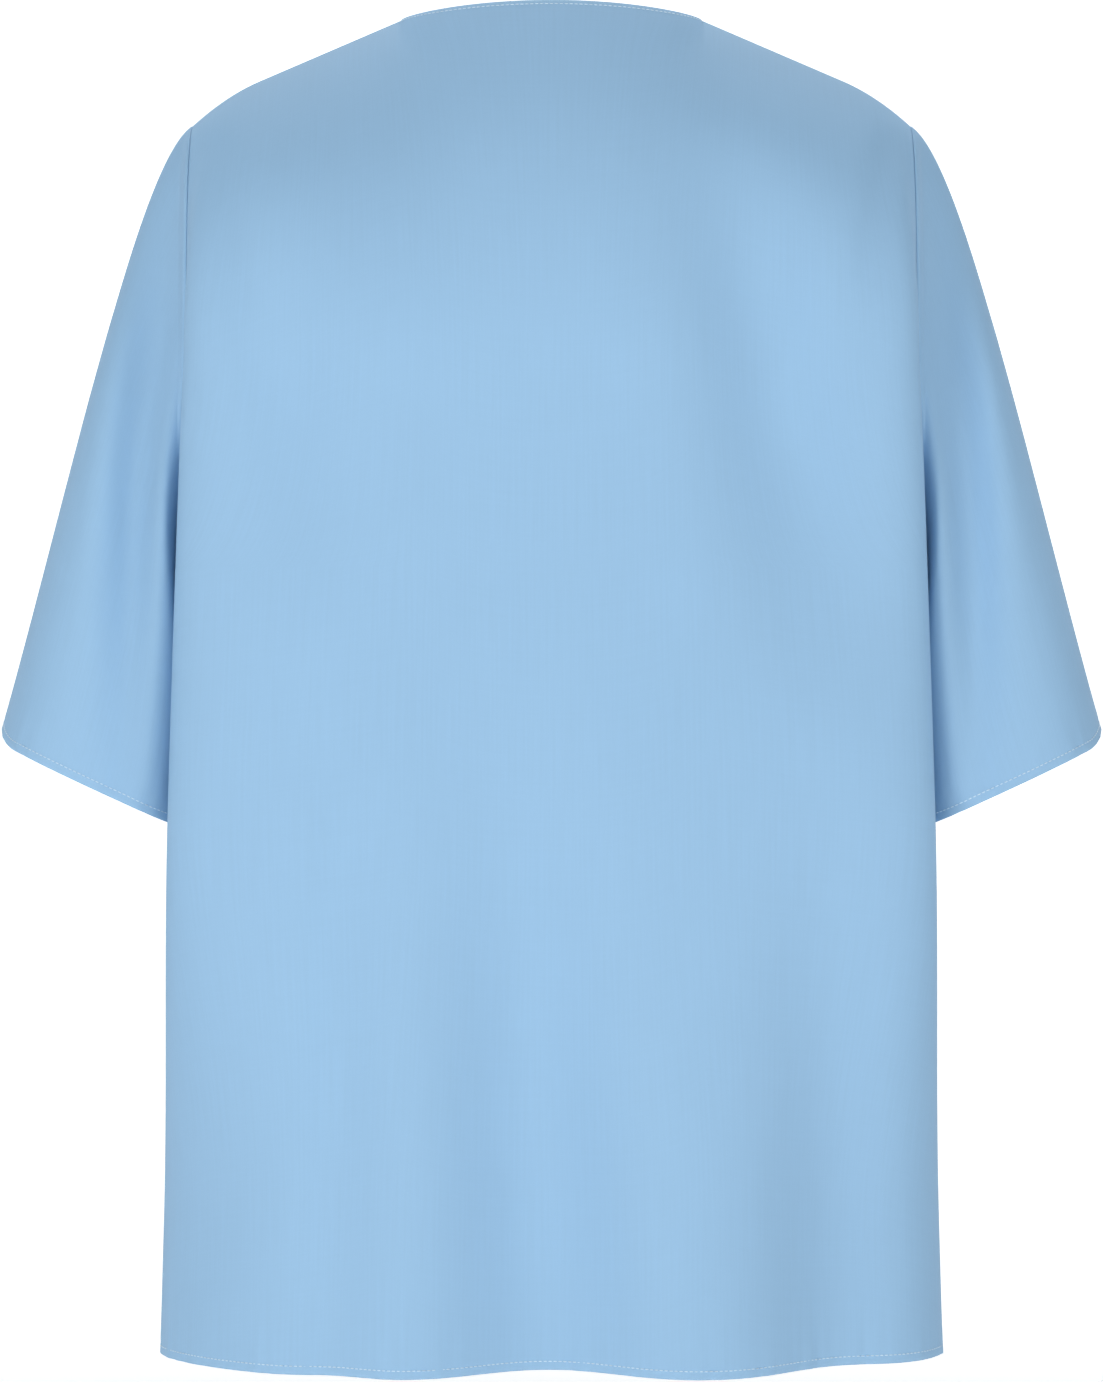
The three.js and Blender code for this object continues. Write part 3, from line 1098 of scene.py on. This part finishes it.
@dataclass(frozen=True)
class Softbox:
    """A square soft light, aimed at the garment from a distance in metres.

    Its place is given by degrees round from behind the wearer, towards their left, and degrees up.
    """

    name: str
    round: float
    up: float
    watts: float
    size: float = 1.2
    distance: float = 3.4

    def build(self, target: Vector) -> None:
        """Adds the light, turned to the target."""
        turn, rise = math.radians(self.round), math.radians(self.up)
        level = self.distance * math.cos(rise)
        place = (level * math.sin(turn), level * math.cos(turn), self.distance * math.sin(rise))
        data = bpy.data.lights.new(self.name, "AREA")
        data.shape = "SQUARE"
        data.size = self.size
        data.energy = self.watts
        light = bpy.data.objects.new(self.name, data)
        light.location = target + Vector(place)
        light.rotation_euler = (target - light.location).to_track_quat("-Z", "Y").to_euler()
        light.visible_camera = False
        bpy.context.collection.objects.link(light)


@dataclass(frozen=True)
class Studio:
    """The camera, the round floor with its curved-up rim, and the lights, in metres."""

    distance: float = 3.0
    eye_z: float = -0.402
    lens: float = 130.2
    floor_z: float = -1.45
    floor_radius: float = 6.5
    rim_radius: float = 3.5
    rim_rise: float = 80.0
    ambient: float = 0.2
    air: Colour = (0.82, 0.93, 1.0)
    softboxes: tuple[Softbox, ...] = (
        Softbox("left key", 34.0, -12.0, 45.0),
        Softbox("right fill", -40.0, -12.0, 27.0),
        Softbox("overhead light", 0.0, 60.0, 13.0),
        Softbox("shoulder light", 180.0, 62.0, 60.0, size=0.8),
    )

    RIM_POINTS = 17
    ROUND_STEPS = 96

    def camera(self) -> None:
        """Adds the camera behind the garment, level with its middle."""
        data = bpy.data.cameras.new("camera")
        data.lens = self.lens
        data.sensor_width = 36.0
        data.clip_end = 60.0
        camera = bpy.data.objects.new("camera", data)
        camera.location = (0.0, self.distance, self.eye_z)
        camera.rotation_euler = (math.pi / 2, 0.0, math.pi)
        bpy.context.collection.objects.link(camera)
        bpy.context.scene.camera = camera

    def floor(self) -> None:
        """Spins the floor's profile, flat and then curved up, into a wide bowl."""
        bm = bmesh.new()
        profile = [bm.verts.new((0.0, 0.0, self.floor_z))]
        for a in np.linspace(0.0, math.radians(self.rim_rise), self.RIM_POINTS):
            out = self.floor_radius + self.rim_radius * math.sin(a)
            up = self.floor_z + self.rim_radius * (1.0 - math.cos(a))
            profile.append(bm.verts.new((out, 0.0, up)))
        edges = [bm.edges.new(pair) for pair in zip(profile, profile[1:])]
        bmesh.ops.spin(
            bm,
            geom=[*profile, *edges],
            axis=(0.0, 0.0, 1.0),
            cent=(0.0, 0.0, 0.0),
            angle=2 * math.pi,
            steps=self.ROUND_STEPS,
            use_merge=True,
        )
        bmesh.ops.remove_doubles(bm, verts=bm.verts, dist=0.0001)
        bmesh.ops.recalc_face_normals(bm, faces=bm.faces)
        if bm.faces[0].normal.z < 0:
            bmesh.ops.reverse_faces(bm, faces=bm.faces)
        mesh = bpy.data.meshes.new("studio_floor")
        bm.to_mesh(mesh)
        bm.free()
        mesh.shade_smooth()
        mesh.materials.append(FloorFinish().material())
        floor = bpy.data.objects.new("studio_floor", mesh)
        bpy.context.collection.objects.link(floor)

    def light(self) -> None:
        """Adds the even light of the room and the softboxes."""
        world = bpy.data.worlds.new("studio")
        world.use_nodes = True
        background = world.node_tree.nodes["Background"]
        background.inputs["Color"].default_value = (*self.air, 1.0)
        background.inputs["Strength"].default_value = self.ambient
        bpy.context.scene.world = world
        low, high = cad_box
        target = (Vector(low) + Vector(high)) / 2
        for softbox in self.softboxes:
            softbox.build(target)
        bpy.context.scene.view_settings.view_transform = "Standard"


# ---- The garment ----


@dataclass(frozen=True)
class Cut:
    """The flat size to which a panel is cut, seam allowances and hems included, in metres."""

    width: float
    length: float
    area: float


@dataclass
class Cardigan:
    """The five panels, their thread and their finishes. The sleeves' folds are given on the left."""

    body: BodyForm = field(default_factory=BodyForm)
    back_folds: tuple[Fold, ...] = (
        Fold((30, -350), (2, HEM_Z), (26, 38), 46, (1, 0)),
        Fold((-100, -50), (-170, -440), (28, 32), 24, (0.4, 0.5)),
        Fold((-156, -360), (-166, HEM_Z), (24, 27), 24, (1, 0)),
        Fold((116, -330), (126, HEM_Z), (13, 17), 8, (0.7, 0)),
        Fold((160, -90), (138, -380), (18, 24), 9, (0.5, 0.5)),
        Fold((202, -62), (166, -270), (6, 17), 5, (0.12, 0.6)),
        Fold((-202, -62), (-166, -270), (6, 17), 5, (0.12, 0.6)),
    )
    front_folds: tuple[Fold, ...] = (
        Fold((140, -330), (126, HEM_Z), (20, 28), 20, (1, 0)),
        Fold((-142, -300), (-150, HEM_Z), (20, 30), 18, (1, 0)),
        Fold((184, -560), (190, HEM_Z), (13, 16), 8, (0.7, 0)),
    )
    sleeve_folds: tuple[Fold, ...] = (
        Fold((237, -64), (252, -470), (12, 11), 20, (0.15, 0.5)),
        Fold((225, -60), (236, -310), (9, 9), 14, (0.1, 0.6)),
        Fold((228, -190), (234, -500), (7, 10), -7, (0.4, 0.15)),
    )

    CUTS = {
        "back": Cut(0.61, 0.87, 0.5),
        "front": Cut(0.24, 0.87, 0.19),
        "sleeve": Cut(0.36, 0.42, 0.13),
    }

    def back_form(self) -> PanelForm:
        """The form of half of the back."""
        return PanelForm(self.body, (121.0, 128.0), neck_share=1 / 3)

    def back(self) -> Panel:
        """The back, from the nape to the hem."""
        form = self.back_form()
        half = form.rows()
        rows = np.concatenate([half[:, :0:-1] * (-1.0, 1.0, 1.0), half], axis=1)
        middle = half.shape[1] - 1
        return Panel(
            name="back_cloth",
            node="back",
            rows=Folds(self.back_folds).press(rows),
            first=Edge.SEAM,
            last=Edge.SEAM,
            top=Edge.SEAM,
            bottom=Edge.HEM,
            columns=(76, 76, 76),
            column_knots=(middle - form.neck, middle + form.neck),
            steps=(34, 26, 100),
            step_knots=(form.chest, form.underarm),
            neck=form.neck,
        )

    def front(self, side: Side) -> Panel:
        """One front, from its open edge to the side."""
        form = PanelForm(self.body, (106.0, 112.0), edge=(84.0, 76.0))
        rows = form.rows() * (side.value, -1.0, 1.0)
        label = side.name.lower()
        return Panel(
            name=f"front_{label}_cloth",
            node=f"front_{label}",
            rows=Folds(self.front_folds).press(rows),
            first=Edge.HEM,
            last=Edge.SEAM,
            top=Edge.SEAM,
            bottom=Edge.HEM,
            columns=(80,),
            column_knots=(),
            steps=(34, 26, 120),
            step_knots=(form.chest, form.underarm),
        )

    def sleeve(self, side: Side) -> Panel:
        """One sleeve, whose two long edges meet at the underarm."""
        form = SleeveForm(self.back_form())
        rows = form.rows() * (side.value, 1.0, 1.0)
        folds = tuple(fold.on(side) for fold in self.sleeve_folds)
        label = side.name.lower()
        return Panel(
            name=f"sleeve_{label}_cloth",
            node=f"sleeve_{label}",
            rows=Folds(folds, hold=12.0, seam_rows=16).press(rows),
            first=Edge.SEAM,
            last=Edge.SEAM,
            top=Edge.SEAM,
            bottom=Edge.HEM,
            columns=(64, 64),
            column_knots=(form.AROUND,),
            steps=(120,),
            step_knots=(),
        )

    def build(self) -> None:
        """Builds, dresses and declares every piece."""
        cloth = ClothFinish().material()
        thread = ThreadFinish().material()
        panels = [
            self.back(),
            *(self.front(side) for side in Side),
            *(self.sleeve(side) for side in Side),
        ]
        for panel in panels:
            piece = panel.build()
            piece.data.materials.append(cloth)
            name = f"{panel.node}_stitching"
            stitches = Stitching().build(name, panel.stitch_lines(), panel.PROUD)
            stitches.data.materials.append(thread)
            for part, slot in ((piece, "cloth"), (stitches, "thread")):
                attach(part, BODY)
            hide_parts(panel.node)
            faces, stitch_faces = len(piece.data.polygons), len(stitches.data.polygons)
            log.info("%s: %d faces, %d stitch faces", piece.name, faces, stitch_faces)


def main() -> None:
    """Sets up the studio and builds the cardigan."""
    logging.basicConfig(level=logging.INFO, format="%(name)s: %(message)s")
    studio = Studio()
    studio.camera()
    studio.floor()
    studio.light()
    log.info("studio ready")
    Cardigan().build()
    log.info("cardigan ready")


if __name__ == "__main__":
    main()
